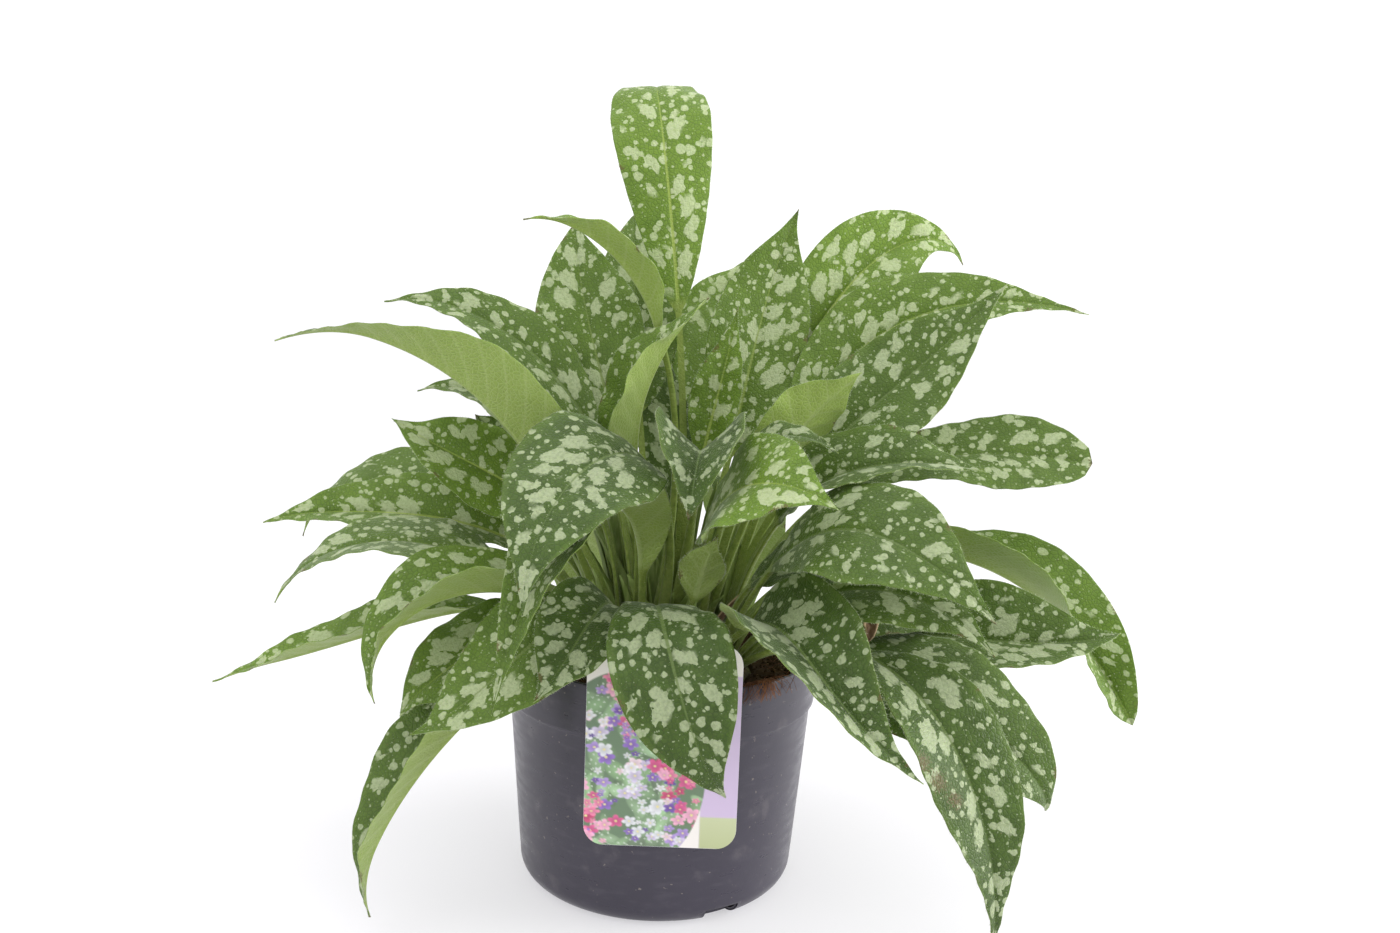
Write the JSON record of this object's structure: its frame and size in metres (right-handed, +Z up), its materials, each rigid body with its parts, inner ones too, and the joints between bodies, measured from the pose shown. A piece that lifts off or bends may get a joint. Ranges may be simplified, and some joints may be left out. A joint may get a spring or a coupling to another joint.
{
  "type": "potted lungwort",
  "caption": "Potted lungwort: clump of long pointed green leaves with pale spots, arching out of a round dark plastic nursery pot with a hanging picture label.",
  "frame": {"origin": "centre of the pot's standing face, on the pot's axis", "axes": "+Z up along the pot's axis; -Y is the front, the side with the label; +X is on the right seen from the front"},
  "size_m": [0.4351, 0.2841, 0.3821],
  "materials": {
    "pot_plastic": "dark grey, slightly purple thermoformed plastic with a satin sheen",
    "soil": "moist dark peat with brown coir fibres",
    "crown": "crowded green and tan leaf bases",
    "label_card": null,
    "leaf": "hairy dark green leaf with pale sage blotches and dots and a pale midrib, plain light green underside",
    "young_leaf": "brighter yellow-green leaf with paler blotches and dots",
    "dry_leaf": "dry folded brown leaf with a papery pale edge"
  },
  "bodies": {
    "root": {"pot": "pot_plastic", "soil": "soil", "crown": "crown", "label": "label_card", "tall_back": "young_leaf", "arch_left_high": "leaf", "broad_back_left": "leaf", "back_centre_left": "leaf", "centre_upright": "leaf", "right_upright": "young_leaf", "back_centre_right": "young_leaf", "young_centre": "young_leaf", "front_funnel": "leaf", "left_high": "leaf", "left_arched": "leaf", "left_behind": "leaf", "left_mid": "leaf", "left_back_low": "leaf", "left_long": "leaf", "left_low": "leaf", "left_front": "leaf", "left_lowest": "leaf", "left_front_low": "leaf", "left_trailing": "leaf", "left_young": "young_leaf", "back_left_mid": "leaf", "back_left_rounded": "leaf", "front_left_broad": "leaf", "front_left_fold": "leaf", "front_left_low": "leaf", "front_left_dark": "leaf", "front_centre": "leaf", "young_front": "young_leaf", "front_right_low": "leaf", "front_right_bright": "leaf", "front_right_broad": "leaf", "front_right_second": "leaf", "front_right_trailing": "leaf", "right_hook": "young_leaf", "right_long": "young_leaf", "right_broad": "leaf", "right_young": "young_leaf", "right_spoon": "leaf", "right_level": "leaf", "small_dark": "leaf", "right_shaded": "leaf", "right_arched": "leaf", "right_under": "leaf", "right_dark": "leaf", "right_low": "leaf", "right_hanging": "leaf", "back_right_mid": "leaf", "back_right_low": "leaf", "back_right_drooping": "leaf", "back_mid": "leaf", "back_low": "leaf", "back_left_arched": "leaf", "back_left_low": "leaf", "back_left_drooping": "leaf", "dry_leaf": "dry_leaf"}
  },
  "joints": []
}
